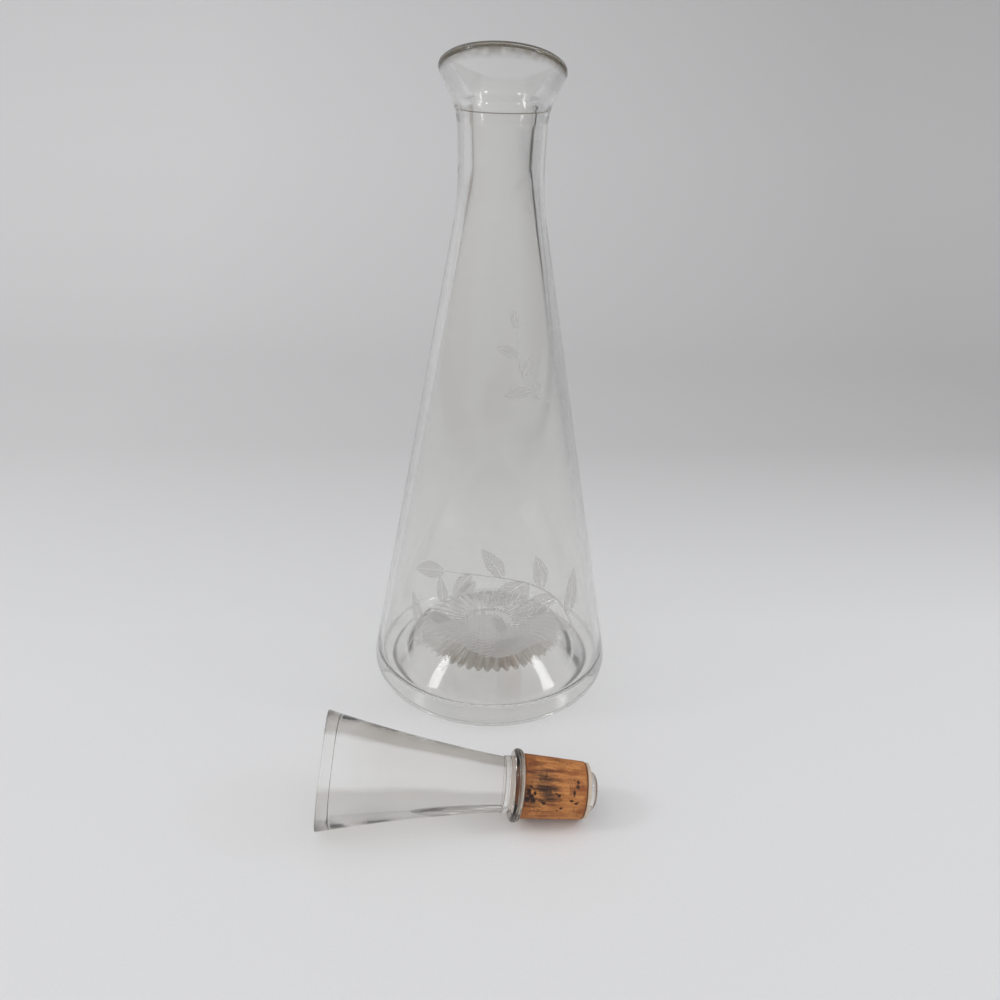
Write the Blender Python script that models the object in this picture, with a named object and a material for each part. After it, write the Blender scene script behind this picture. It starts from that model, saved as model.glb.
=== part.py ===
"""Clear glass decanter with a slanted mouth, and its corked glass stopper lying in front of it.

Metres, +Z up. The decanter is a cone on a heavy foot, with a short neck and a flared mouth that
ends at a slant, high at the front (-Y) and low at the back. Its foot is pushed up into a dome, and
the dome's underside is pressed with a sunburst of ribs. The stopper is one piece of glass: a solid
trumpet-shaped head, a collar, a flange and a peg that carries a cork sleeve and an end ring.
The origin is on the table, in the middle of the room that the two take up.
"""

import math

import bmesh
import bpy
from mathutils import Matrix, Vector

# Decanter, inside of the wall
BORE_RADIUS = 0.0096
BORE_FOOT_RISE = 0.0065
BORE_FOOT_ROUNDING = 0.0400
THROAT_EASE = 0.0006
THROAT_RISE = 0.0035
THROAT_ROUNDING = 0.0060

# Decanter, thickness of the glass
NECK_WALL = 0.0053
CONE_WALL = 0.0026
LIP_THICKNESS = 0.0042
LIP_ROUNDING = 0.0020
FLOOR_THICKNESS = 0.0060

# Decanter, outside of the wall
CONE_FOOT_RADIUS = 0.0506
HEEL_ROUNDING = 0.0065
SHOULDER_HEIGHT = 0.1985
SHOULDER_ROUNDING = 0.1100
NECK_LENGTH = 0.0230
NECK_SPREAD = 0.0006
CREASE_RISE = 0.0043
CREASE_STEP = 0.0008
CREASE_COVE_ROUNDING = 0.0080
MOUTH_RISE = 0.0132
MOUTH_SPREAD = 0.0059
MOUTH_TILT = math.radians(18.75)
MOUTH_TURN = math.radians(-6.9)

# Decanter, pushed-up foot with its sunburst
FOOT_WIDTH = 0.0091
FOOT_EDGE_ROUNDING = 0.0020
COVE_WIDTH = 0.0147
SUNBURST_HEIGHT = 0.0170
SUNBURST_WIDTH = 0.0150
SUNBURST_RUN_OUT = 0.0016
DOME_RISE = 0.0012
RIB_COUNT = 46
RIB_DEPTH = 0.0015
GUTTER_HEIGHT = 0.0035
GUTTER_ROUNDING = 0.0035
FLOOR_EDGE_ROUNDING = 0.0100

# Stopper, from the flat end of its head to the tip of its peg
DISC_RADIUS = 0.0205
DISC_THICKNESS = 0.0020
DISC_STEP = 0.0004
DISC_ROUNDING = 0.0006
HEAD_LENGTH = 0.0610
HEAD_HOLLOW = 0.0009
HEAD_FOOT_STEP = 0.0005
COLLAR_LENGTH = 0.0032
COLLAR_ROUNDING = 0.0005
FLANGE_STEP = 0.00265
FLANGE_THICKNESS = 0.0034
FLANGE_ROUNDING = 0.0016
FLANGE_OVERHANG = 0.0014
CORK_LENGTH = 0.0218
CORK_WALL = 0.0027
CORK_SQUEEZE = 0.0004
CORK_TAPER = 0.00125
CORK_ROUNDING = 0.0005
END_RING_THICKNESS = 0.0020
END_RING_ROUNDING = 0.0010
END_RING_INSET = 0.0003
TIP_LENGTH = 0.0023
TIP_ROUNDING = 0.0022

# Where the stopper lies
STOPPER_CLEARANCE = 0.0200
STOPPER_SHIFT = 0.0614

# Glass and the pieces on it keep this far apart
FITTING_GAP = 0.0003
MERGE_DISTANCE = 0.000001

# Facets: the decanter's wall has two steps to a rib, its pressed underside has four
WALL_STEPS = 2 * RIB_COUNT
RIB_STEPS = 4 * RIB_COUNT
STOPPER_STEPS = 44
HEAD_CURVE_STEPS = 6
SLIGHT_CORNER_STEPS = 2
CORNER_STEPS = 3
ROUND_CORNER_STEPS = 4
WIDE_CORNER_STEPS = 5

# Edges between faces that meet at more than this stay sharp
SHARP_ANGLE = math.radians(32)

# The most of an outline's straight edge that one rounded corner may use up
ROUNDING_SHARE = 0.49

# Colours and finishes
DECANTER_COLOUR = (0.93, 0.94, 0.92)
STOPPER_COLOUR = (0.94, 0.94, 0.93)
CORK_COLOUR = (0.55, 0.28, 0.12)
END_RING_COLOUR = (0.72, 0.70, 0.64)
GLASS_ROUGHNESS = 0.02
CORK_ROUGHNESS = 0.75
END_RING_ROUGHNESS = 0.4
GLASS_CLEARNESS = 1.0
END_RING_CLEARNESS = 0.3
REFRACTION = 1.5

# Sizes that follow from those above
neck_radius = BORE_RADIUS + NECK_WALL
neck_top = Vector((neck_radius + NECK_SPREAD, SHOULDER_HEIGHT + NECK_LENGTH))
crease = neck_top + Vector((CREASE_STEP, CREASE_RISE))
throat = Vector((BORE_RADIUS + THROAT_EASE, crease.y + THROAT_RISE))
foot_inner_radius = CONE_FOOT_RADIUS - FOOT_WIDTH
sunburst_radius = foot_inner_radius - COVE_WIDTH
sunburst_inner_radius = sunburst_radius - SUNBURST_WIDTH
dome_height = SUNBURST_HEIGHT + DOME_RISE
cork_end_radius = BORE_RADIUS + CORK_SQUEEZE
cork_top_radius = cork_end_radius + CORK_TAPER
peg_radius = cork_end_radius - CORK_WALL - FITTING_GAP
end_ring_radius = cork_end_radius - END_RING_INSET
flange_radius = cork_top_radius + FLANGE_OVERHANG
collar_radius = flange_radius - FLANGE_STEP
head_foot_radius = collar_radius - HEAD_FOOT_STEP
head_end = DISC_THICKNESS + HEAD_LENGTH
flange_start = head_end + COLLAR_LENGTH
flange_end = flange_start + FLANGE_THICKNESS
cork_start = flange_end + FITTING_GAP
cork_end = cork_start + CORK_LENGTH
ring_start = cork_end + FITTING_GAP
ring_end = ring_start + END_RING_THICKNESS
tip_end = ring_end + TIP_LENGTH


def corner(radius, height, rounding=0.0, steps=0):
    """One corner of an outline in the half plane, with the radius and the steps of its rounding."""
    return Vector((radius, height)), rounding, steps


def rounded(before, point, after, rounding, steps):
    """The arc that rounds the corner at point, limited by the straight edges beside it."""
    back = before - point
    ahead = after - point
    half_angle = back.angle(ahead) / 2
    room = ROUNDING_SHARE * min(back.length, ahead.length)
    reach = min(rounding / math.tan(half_angle), room)
    start = point + back.normalized() * reach
    end = point + ahead.normalized() * reach
    middle_way = (back.normalized() + ahead.normalized()).normalized()
    centre = point + middle_way * (reach / math.cos(half_angle))
    spoke = start - centre
    turn = math.copysign(math.pi - 2 * half_angle, spoke.cross(end - centre))
    return [centre + Matrix.Rotation(turn * step / steps, 2) @ spoke for step in range(steps + 1)]


def outline(corners):
    """Points of an open outline whose corners are rounded where they say so."""
    points = [corners[0][0]]
    for before, here, after in zip(corners, corners[1:], corners[2:]):
        point, rounding, steps = here
        if steps:
            points += rounded(before[0], point, after[0], rounding, steps)
        else:
            points.append(point)
    points.append(corners[-1][0])
    return points


def lip_corners(direction):
    """Inner and outer corner of the lip, which ends the flared wall squarely at a slanted height."""
    slant = -math.sin(direction - MOUTH_TURN) * math.tan(MOUTH_TILT)
    radius = (crease.x + MOUTH_SPREAD) / (1 - slant * MOUTH_SPREAD / MOUTH_RISE)
    outer = Vector((radius, crease.y + MOUTH_RISE + radius * slant))
    across = Vector((-MOUTH_RISE, MOUTH_SPREAD)).normalized()
    return outer + across * LIP_THICKNESS, outer


def wall_section(direction):
    """Outline of the decanter's glass in one direction, from the inside floor's middle to the foot."""
    lip_inner, lip_outer = lip_corners(direction)
    floor_edge = (sunburst_radius, SUNBURST_HEIGHT + FLOOR_THICKNESS)
    cone_slope = (CONE_FOOT_RADIUS - neck_radius) / SHOULDER_HEIGHT
    gutter_radius = CONE_FOOT_RADIUS - cone_slope * GUTTER_HEIGHT - CONE_WALL
    return outline([
        corner(0, dome_height + FLOOR_THICKNESS),
        corner(*floor_edge, FLOOR_EDGE_ROUNDING, CORNER_STEPS),
        corner(gutter_radius, GUTTER_HEIGHT, GUTTER_ROUNDING, WIDE_CORNER_STEPS),
        corner(BORE_RADIUS, SHOULDER_HEIGHT + BORE_FOOT_RISE, BORE_FOOT_ROUNDING, CORNER_STEPS),
        corner(*throat, THROAT_ROUNDING, CORNER_STEPS),
        corner(*lip_inner, LIP_ROUNDING, CORNER_STEPS),
        corner(*lip_outer, LIP_ROUNDING, CORNER_STEPS),
        corner(*crease),
        corner(*neck_top, CREASE_COVE_ROUNDING, CORNER_STEPS),
        corner(neck_radius, SHOULDER_HEIGHT, SHOULDER_ROUNDING, WIDE_CORNER_STEPS),
        corner(CONE_FOOT_RADIUS, 0, HEEL_ROUNDING, ROUND_CORNER_STEPS),
        corner(foot_inner_radius, 0),
    ])[:-1]


def underside_section(direction):
    """Outline of the pressed underside in one direction, from the foot's inner edge to the middle."""
    rib = RIB_DEPTH * abs(math.cos(direction * RIB_COUNT / 2))
    cove_slope = COVE_WIDTH / SUNBURST_HEIGHT
    rib_end_radius = sunburst_inner_radius + SUNBURST_RUN_OUT
    middle_radius = (sunburst_radius + rib_end_radius) / 2
    corners = [
        corner(CONE_FOOT_RADIUS, 0),
        corner(foot_inner_radius, 0, FOOT_EDGE_ROUNDING, CORNER_STEPS),
        corner(sunburst_radius + rib * cove_slope, SUNBURST_HEIGHT - rib),
    ]
    for radius in (middle_radius, rib_end_radius):
        depth = rib * radius / sunburst_radius
        corners.append(corner(radius, dome(radius) - depth))
    corners.append(corner(sunburst_inner_radius, dome(sunburst_inner_radius)))
    corners.append(corner(0, dome_height))
    return outline(corners)[1:]


def dome(radius):
    """Height of the dome over the sunburst, without its ribs."""
    return SUNBURST_HEIGHT + DOME_RISE * (1 - (radius / sunburst_radius) ** 2)


def lay_rings(shape, section, steps):
    """Vertices of a section repeated round the axis, as one ring for each of its points."""
    directions = [math.tau * step / steps for step in range(steps)]
    sections = [section(direction) for direction in directions]
    rings = []
    for points in zip(*sections):
        if all(point.x == 0 for point in points):
            rings.append([shape.verts.new((0, 0, points[0].y))])
            continue
        ring = []
        for point, direction in zip(points, directions):
            place = (point.x * math.cos(direction), point.x * math.sin(direction), point.y)
            ring.append(shape.verts.new(place))
        rings.append(ring)
    return rings


def skin_rings(shape, first, second):
    """Faces between two rings; the longer ring has a whole number of steps to one of the shorter."""
    if len(first) > len(second):
        first, second = second, first
    if len(first) == 1:
        for step in range(len(second)):
            shape.faces.new((first[0], second[step - 1], second[step]))
        return
    ratio = len(second) // len(first)
    for step in range(len(first)):
        run = [second[(step * ratio + part) % len(second)] for part in range(ratio + 1)]
        shape.faces.new([first[(step + 1) % len(first)], first[step]] + run)


def finish(name, shape, material, parent):
    """Turn a shape into a smooth-shaded object of its own with its sharp edges kept."""
    bmesh.ops.recalc_face_normals(shape, faces=shape.faces)
    mesh = bpy.data.meshes.new(name)
    shape.to_mesh(mesh)
    shape.free()
    mesh.shade_smooth()
    mesh.set_sharp_from_angle(angle=SHARP_ANGLE)
    mesh.materials.append(material)
    piece = bpy.data.objects.new(name, mesh)
    bpy.context.collection.objects.link(piece)
    piece.parent = parent
    return piece


def turned(name, corners, material, parent, closed=False):
    """Spin an outline, given from the top down, once round the local Z axis."""
    shape = bmesh.new()
    points = outline(corners)
    verts = [shape.verts.new((point.x, 0, point.y)) for point in points]
    pairs = list(zip(verts, verts[1:]))
    if closed:
        pairs.append((verts[-1], verts[0]))
    edges = [shape.edges.new(pair) for pair in pairs]
    bmesh.ops.spin(
        shape, geom=verts + edges, axis=(0, 0, 1), cent=(0, 0, 0),
        angle=math.tau, steps=STOPPER_STEPS, use_merge=True,
    )
    bmesh.ops.remove_doubles(shape, verts=shape.verts, dist=MERGE_DISTANCE)
    return finish(name, shape, material, parent)


def surface(name, colour, roughness, clearness=0.0):
    """A Principled BSDF material."""
    material = bpy.data.materials.new(name)
    material.use_nodes = True
    shader = material.node_tree.nodes["Principled BSDF"]
    shader.inputs["Base Color"].default_value = (*colour, 1.0)
    shader.inputs["Roughness"].default_value = roughness
    shader.inputs["Metallic"].default_value = 0.0
    shader.inputs["Transmission Weight"].default_value = clearness
    shader.inputs["IOR"].default_value = REFRACTION
    return material


def holder(name, parent=None):
    """An empty that carries pieces."""
    empty = bpy.data.objects.new(name, None)
    bpy.context.collection.objects.link(empty)
    empty.parent = parent
    return empty


def build_decanter(parent):
    """The decanter: one moulding, lofted round its axis."""
    shape = bmesh.new()
    rings = lay_rings(shape, wall_section, WALL_STEPS)
    rings += lay_rings(shape, underside_section, RIB_STEPS)
    for first, second in zip(rings, rings[1:]):
        skin_rings(shape, first, second)
    glass = surface("decanter_clear_glass", DECANTER_COLOUR, GLASS_ROUGHNESS, GLASS_CLEARNESS)
    return finish("decanter_body", shape, glass, parent)


def head_curve():
    """Corners along the head's slightly hollow side, from its disc down to its collar."""
    start = Vector((DISC_RADIUS - DISC_STEP, -DISC_THICKNESS))
    end = Vector((head_foot_radius, -head_end))
    corners = []
    for step in range(HEAD_CURVE_STEPS + 1):
        along = step / HEAD_CURVE_STEPS
        point = start.lerp(end, along)
        hollow = HEAD_HOLLOW * (1 - (2 * along - 1) ** 2)
        corners.append(corner(point.x - hollow, point.y))
    return corners


def glass_corners():
    """Outline of the stopper's glass, from the middle of its flat end to the tip of its peg."""
    return [
        corner(0, 0),
        corner(DISC_RADIUS, 0, DISC_ROUNDING, SLIGHT_CORNER_STEPS),
        corner(DISC_RADIUS, -DISC_THICKNESS, DISC_ROUNDING, SLIGHT_CORNER_STEPS),
        *head_curve(),
        corner(collar_radius, -head_end, COLLAR_ROUNDING, SLIGHT_CORNER_STEPS),
        corner(collar_radius, -flange_start),
        corner(flange_radius, -flange_start, FLANGE_ROUNDING, ROUND_CORNER_STEPS),
        corner(flange_radius, -flange_end, FLANGE_ROUNDING, ROUND_CORNER_STEPS),
        corner(peg_radius, -flange_end),
        corner(peg_radius, -tip_end, TIP_ROUNDING, ROUND_CORNER_STEPS),
        corner(0, -tip_end),
    ]


def cork_corners():
    """Outline of one side of the cork sleeve."""
    bore = peg_radius + FITTING_GAP
    return [
        corner(bore, -cork_start),
        corner(cork_top_radius, -cork_start, CORK_ROUNDING, SLIGHT_CORNER_STEPS),
        corner(cork_end_radius, -cork_end, CORK_ROUNDING, SLIGHT_CORNER_STEPS),
        corner(bore, -cork_end),
    ]


def end_ring_corners():
    """Outline of one side of the end ring."""
    bore = peg_radius + FITTING_GAP
    return [
        corner(bore, -ring_start),
        corner(end_ring_radius, -ring_start),
        corner(end_ring_radius, -ring_end, END_RING_ROUNDING, CORNER_STEPS),
        corner(bore, -ring_end),
    ]


def build_stopper_glass(parent):
    """Head, collar, flange and peg, pressed from one piece of glass."""
    glass = surface("stopper_clear_glass", STOPPER_COLOUR, GLASS_ROUGHNESS, GLASS_CLEARNESS)
    return turned("stopper_glass", glass_corners(), glass, parent)


def build_cork_sleeve(parent):
    """The tapered cork that grips the bore of the neck."""
    cork = surface("cork", CORK_COLOUR, CORK_ROUGHNESS)
    return turned("cork_sleeve", cork_corners(), cork, parent, closed=True)


def build_end_ring(parent):
    """The milky ring that holds the cork on the peg."""
    plastic = surface("milky_plastic", END_RING_COLOUR, END_RING_ROUGHNESS, END_RING_CLEARNESS)
    return turned("end_ring", end_ring_corners(), plastic, parent, closed=True)


def lay_down(stopper):
    """Lay the upright stopper on its side, its axis along X and its tip at +X.

    It rests on its disc and on whatever touches the table first beyond its collar.
    """
    points = outline(glass_corners()) + outline(cork_corners()) + outline(end_ring_corners())
    disc_points = [point for point in points if point.y >= -DISC_THICKNESS]
    far_points = [point for point in points if point.y < -head_end]
    dip = min(
        max(math.atan2(near.x - far.x, near.y - far.y) for near in disc_points)
        for far in far_points
    )
    stopper.rotation_euler.y = dip - math.pi / 2
    stopper.location.x = -STOPPER_SHIFT
    stopper.location.y = -CONE_FOOT_RADIUS - STOPPER_CLEARANCE - DISC_RADIUS
    stopper.location.z = max(near.x * math.cos(dip) - near.y * math.sin(dip) for near in disc_points)


def centre_footprint(stand, pieces):
    """Move the whole set so that the middle of its footprint is over the origin."""
    bpy.context.view_layer.update()
    places = [piece.matrix_world @ vert.co for piece in pieces for vert in piece.data.vertices]
    for axis in (0, 1):
        reach = [place[axis] for place in places]
        stand.location[axis] = -(min(reach) + max(reach)) / 2


def main():
    """Clear the scene and build the set."""
    for leftover in list(bpy.data.objects):
        bpy.data.objects.remove(leftover)
    stand = holder("set_on_table")
    stopper = holder("stopper_laid_down", stand)
    pieces = [
        build_decanter(stand),
        build_stopper_glass(stopper),
        build_cork_sleeve(stopper),
        build_end_ring(stopper),
    ]
    lay_down(stopper)
    centre_footprint(stand, pieces)
    bpy.context.view_layer.update()


main()
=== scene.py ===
"""Looks for a clear glass decanter and its corked glass stopper, laid down in front of it.

The decanter is a heavy cone of pressed glass with a slant-cut, flared mouth and a pushed-up foot
that is ribbed underneath like a sunburst. A frosted leaf spray is etched into its front. The
stopper is solid glass, with a cork sleeve held on its peg by a milky ring.
Metres, +Z up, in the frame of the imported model.
"""

import math
import random
from collections import namedtuple
from functools import partial, reduce

import bpy
from bpy.props import FloatProperty, FloatVectorProperty, IntProperty, PointerProperty
from mathutils import Matrix, Vector, noise


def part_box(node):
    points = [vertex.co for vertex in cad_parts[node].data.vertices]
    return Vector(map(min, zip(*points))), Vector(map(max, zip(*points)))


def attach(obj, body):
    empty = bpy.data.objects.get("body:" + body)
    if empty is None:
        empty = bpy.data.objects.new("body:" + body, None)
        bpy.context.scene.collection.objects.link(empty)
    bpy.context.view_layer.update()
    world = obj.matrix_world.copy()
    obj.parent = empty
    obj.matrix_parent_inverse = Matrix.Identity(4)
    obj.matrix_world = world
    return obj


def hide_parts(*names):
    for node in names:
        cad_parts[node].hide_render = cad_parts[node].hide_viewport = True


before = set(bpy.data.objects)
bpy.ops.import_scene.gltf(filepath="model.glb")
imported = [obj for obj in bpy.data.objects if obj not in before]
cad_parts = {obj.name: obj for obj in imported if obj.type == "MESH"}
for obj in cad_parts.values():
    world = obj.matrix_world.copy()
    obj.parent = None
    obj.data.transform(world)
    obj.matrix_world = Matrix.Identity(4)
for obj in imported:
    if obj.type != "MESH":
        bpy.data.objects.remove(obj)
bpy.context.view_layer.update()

bl_info = {
    "name": "Corked Glass Decanter",
    "version": (1, 0, 0),
    "blender": (4, 5, 0),
    "location": "3D View > Sidebar > Decanter",
    "description": "Builds a glass decanter, its corked stopper and a plain studio round them",
    "category": "Add Mesh",
}

SHARP_ANGLE = math.radians(32)
STEPS_PER_RIB = 8
STOPPER_STEPS = 256
CORK_STEPS = 380
RING_STEPS = 192
# The most of a straight edge that the rounding at one of its ends may use up
EDGE_SHARE = 0.49
HEEL_SHARE = 0.97


def length(default, description):
    """A size in metres."""
    return FloatProperty(
        description=description, default=default, precision=5, subtype="DISTANCE", unit="LENGTH",
    )


def angle(degrees, description):
    """An angle, given in degrees and kept in radians."""
    return FloatProperty(
        description=description, default=math.radians(degrees), subtype="ANGLE", unit="ROTATION",
    )


def share(default, description):
    """A plain number, such as a strength or a part of a whole."""
    return FloatProperty(
        description=description, default=default, precision=3, subtype="FACTOR",
        min=0.0, soft_max=1.0,
    )


def count(default, description):
    """A whole number of things."""
    return IntProperty(description=description, default=default, min=1)


def colour(default, description):
    """A linear colour."""
    return FloatVectorProperty(
        description=description, default=default, subtype="COLOR", size=3, min=0.0, max=1.0,
    )


def titled(group):
    """Name every setting of a group after its own identifier."""
    for key, setting in group.__annotations__.items():
        setting.keywords["name"] = key.replace("_", " ").title()
    return group


@titled
class DecanterSizes(bpy.types.PropertyGroup):
    """Sizes of the decanter's glass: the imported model's, but for its heel and the neck's length."""

    bore_radius: length(0.0096, "Radius of the hole through the neck")
    bore_foot_rise: length(0.0065, "How far above the shoulder the bore widens")
    bore_foot_rounding: length(0.04, "Rounding under the bore")
    throat_rise: length(0.0035, "Height of the throat over the small step")
    throat_ease: length(0.0006, "How much wider the bore is at its throat")
    throat_rounding: length(0.006, "Rounding where the funnel meets the bore")
    neck_wall: length(0.0053, "Thickness of the neck's wall")
    cone_wall: length(0.0026, "Thickness of the wall at the cone's foot")
    lip_thickness: length(0.0042, "Thickness of the lip")
    lip_rounding: length(0.002, "Rounding of the lip's two edges")
    floor_thickness: length(0.006, "Glass between the floor and the dome")
    cone_foot_radius: length(0.0506, "Outer radius of the cone at the table")
    heel_rounding: length(0.0087, "Rounding of the outer edge of the foot")
    shoulder_height: length(0.1985, "Height at which the cone ends")
    shoulder_rounding: length(0.11, "Rounding between cone and neck")
    neck_length: length(0.0245, "Length of the neck above the shoulder")
    neck_spread: length(0.0006, "How much the neck widens towards its top")
    crease_rise: length(0.0043, "Height of the small step under the mouth")
    crease_step: length(0.0008, "Width of the small step under the mouth")
    crease_cove: length(0.008, "Rounding under the small step")
    crease_rounding: length(0.00012, "Rounding of the small step's edge")
    mouth_rise: length(0.0117, "Height of the mouth over the step, at its middle")
    mouth_spread: length(0.0055, "How much the mouth flares out")
    mouth_tilt: angle(18.75, "Slant of the mouth, high at the front")
    mouth_turn: angle(-6.9, "Turn of the mouth's high side from straight ahead")
    foot_width: length(0.0106, "Width of the flat ring that it stands on")
    foot_edge_rounding: length(0.002, "Rounding inside that ring")
    cove_width: length(0.0132, "Width of the slope up to the sunburst")
    sunburst_height: length(0.017, "Height of the sunburst's outer edge")
    sunburst_width: length(0.015, "Length of the ribs")
    sunburst_run_out: length(0.0016, "Length over which a rib fades out")
    dome_rise: length(0.0012, "Rise of the dome over the sunburst's edge")
    rib_count: count(46, "Number of ribs in the sunburst")
    rib_depth: length(0.0015, "Depth of a rib at its outer end")
    gutter_height: length(0.0035, "Lowest point of the inside")
    gutter_rounding: length(0.0035, "Rounding of the inside's lowest corner")
    floor_edge_rounding: length(0.01, "Rounding of the raised floor's edge")


@titled
class StopperSizes(bpy.types.PropertyGroup):
    """Sizes of the stopper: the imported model's, but for a slimmer disc edge and end ring."""

    disc_radius: length(0.0205, "Radius of the head's flat end")
    disc_thickness: length(0.0008, "Thickness of the head's end disc")
    disc_step: length(0.00003, "How far the disc stands out from the head")
    disc_rounding: length(0.0003, "Rounding of the disc's edges")
    head_length: length(0.0622, "Length of the trumpet-shaped head")
    head_hollow: length(0.0009, "How much the head's side is hollowed")
    head_foot_step: length(0.0005, "Step between head and collar")
    collar_length: length(0.0032, "Length of the collar")
    collar_rounding: length(0.0005, "Rounding of the collar")
    flange_step: length(0.00265, "How far the flange stands out from the collar")
    flange_thickness: length(0.0034, "Thickness of the flange")
    flange_rounding: length(0.0016, "Rounding of the flange's edges")
    flange_overhang: length(0.0014, "How far the flange covers the cork")
    cork_length: length(0.0218, "Length of the cork sleeve")
    cork_wall: length(0.0027, "Thickness of the cork at its thin end")
    cork_squeeze: length(0.0004, "How much larger the cork is than the bore")
    cork_taper: length(0.00125, "How much larger the cork is at its thick end")
    cork_rounding: length(0.0005, "Rounding of the cork's edges")
    ring_thickness: length(0.0013, "Thickness of the milky ring")
    ring_rounding: length(0.0007, "Rounding of the milky ring")
    ring_edge_rounding: length(0.0002, "Rounding of the milky ring beside the cork")
    ring_inset: length(0.0003, "How much smaller the ring is than the cork")
    tip_length: length(0.003, "Length of the clear tip")
    tip_rounding: length(0.0028, "Rounding of the clear tip")
    fitting_gap: length(0.0003, "Gap between the glass and what is on it")
    clearance: length(0.02, "Free table between the stopper and the decanter")
    shift: length(0.0614, "How far the disc lies to the left of the decanter's axis")


@titled
class EtchingSizes(bpy.types.PropertyGroup):
    """Sizes of the leaf sprays that are etched into the decanter's front."""

    leaf_length: length(0.0165, "Length of a full-sized leaf")
    leaf_width: length(0.0078, "Width of a full-sized leaf")
    midrib_width: length(0.00045, "Clear line along the middle of a leaf")
    stem_width: length(0.0009, "Width of a stem at its foot")
    film_thickness: length(0.00003, "Thickness of the frosted film")
    film_gap: length(0.00002, "Gap between the film and the glass under it")
    leaf_angle: angle(48, "Turn of a leaf away from its stem")
    leaf_curl: share(0.12, "How far a leaf's tip bends aside, as a part of its length")
    leaf_teeth: count(8, "Number of teeth along each side of a leaf")
    tooth_depth: share(0.16, "Depth of a tooth, as a part of the leaf's half width")
    leaf_veins: count(11, "Number of engraved veins in half a leaf")
    stem_taper: share(0.7, "How much of its width a stem loses towards its tip")
    ground_height: length(0.017, "Height of the shaded ground")
    ground_foot: length(0.037, "Height of the ground's lower edge over the table")
    ground_start: angle(-46, "Left end of the ground, from straight ahead")
    ground_sweep: angle(90, "How far the ground runs round the cone")
    ground_veins: count(64, "Number of engraved lines in the ground")


@titled
class Looks(bpy.types.PropertyGroup):
    """Colours and finishes of the pieces."""

    glass: colour((0.94, 0.938, 0.93), "Tint of the decanter's clear glass")
    stopper: colour((0.985, 0.984, 0.978), "Tint of the stopper's clear glass")
    # Painted shade: beige bands of shaded table that the head shows along its length.
    stopper_band_shade: colour((0.52, 0.49, 0.45), "Beige bands along the stopper's head")
    # Painted shade: dark corners at the head's flat end.
    stopper_end_shade: colour((0.10, 0.08, 0.065), "Brown corners of the head's flat end")
    flange: colour((0.50, 0.41, 0.33), "Tint of the stopper's flange")
    glass_shadow: colour((0.975, 0.975, 0.97), "What a glass face lets lamps through")
    stopper_shadow: colour((0.88, 0.865, 0.84), "The same for the solid stopper")
    # Painted shade: the dark band that the lip shows at its front, as colour and cover.
    lip_shade: colour((0.15, 0.125, 0.08), "Colour of the worn lip")
    lip_shade_cover: share(0.7, "How much of the lip's glass the wear hides")
    # Painted shade: the dark line in the crease under the mouth.
    crease_line: length(0.0004, "Width of the dirt in the crease under the mouth")
    # Painted shade: the dark table under the foot, seen brown through the ribs at the front.
    residue: colour((0.22, 0.175, 0.12), "Tint of the ribs under the foot")
    residue_cover: share(0.7, "How much of the nearest ribs the residue hides")
    haze: colour((0.84, 0.83, 0.81), "Colour of the faint film inside the decanter")
    haze_cover: share(0.04, "How much of the glass that film hides")
    frost: colour((0.57, 0.565, 0.555), "Colour of the frosted etching")
    frost_cover: share(0.5, "How much of the glass a film of frosting hides")
    cork_light: colour((0.52, 0.215, 0.062), "Pale parts of the cork")
    cork_dark: colour((0.24, 0.068, 0.014), "Reddish parts of the cork")
    # Also the dark of the pores, partly painted shade that grows with the depth of the pits.
    cork_stain_and_pit_shade: colour((0.030, 0.011, 0.006), "Pores and stains in the cork")
    ring: colour((0.52, 0.43, 0.34), "The milky ring")
    floor: colour((0.765, 0.768, 0.775), "The table")
    # Painted shade: the backdrop is the same paper as the table, given a darker tone, and darker
    # again at its right and high up.
    backdrop: colour((0.655, 0.655, 0.66), "The paper behind the table")
    right_shade: share(0.25, "How much darker the backdrop is at its right")
    height_shade: share(0.24, "How much darker the backdrop is high up")
    room_light: colour((0.92, 0.92, 0.93), "The room's light on the set")
    room_above: colour((0.92, 0.92, 0.93), "The ceiling, as the glass shows it")
    room_front: colour((0.68, 0.67, 0.66), "The room behind the camera")
    room_left: colour((0.40, 0.38, 0.35), "The room left of the table")
    room_right: colour((0.34, 0.32, 0.29), "The room right of the table")
    dark_strip: colour((0.02, 0.018, 0.015), "The dark strip right of the table")


@titled
class StageSizes(bpy.types.PropertyGroup):
    """Where the camera and the lamps are."""

    camera_distance: length(0.3666, "From the decanter's axis, level")
    camera_height: length(0.2619, "Above the table")
    camera_bearing: angle(2.7177, "Turn round the decanter's axis")
    camera_yaw: angle(0.426, "Turn to the right of the axis")
    camera_pitch: angle(26.455, "Downward tilt")
    camera_roll: angle(1.581, "Roll about the line of sight")
    camera_lens: FloatProperty(
        description="Focal length", default=36.6, subtype="DISTANCE_CAMERA", unit="CAMERA",
    )
    lamp_distance: length(0.95, "From the middle of the set")
    lamp_width: length(0.16, "Width of a lamp")
    lamp_height: length(0.2, "Height of a lamp")
    lamp_bearing: angle(80, "Turn of a lamp from the camera's side")
    lamp_elevation: angle(36, "Height of a lamp over the horizon")
    lamp_power: FloatProperty(description="Light that a lamp gives", default=1.1, unit="POWER")
    set_middle: length(0.1, "Height of the point that the lamps look at")
    floor_reach: length(2.4, "How far the paper runs to the front and the sides")
    table_right: length(0.97, "Where the glass sees the table end on the right")
    table_left: length(0.95, "Where the glass sees the table end on the left")
    wall_distance: length(0.85, "From the middle of the set to the backdrop")
    wall_bend: length(0.42, "Radius of the bend between table and backdrop")
    wall_height: length(2.0, "Height of the backdrop")


# Outlines in the half plane

Corner = namedtuple("Corner", "point rounding steps parts room")


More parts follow.
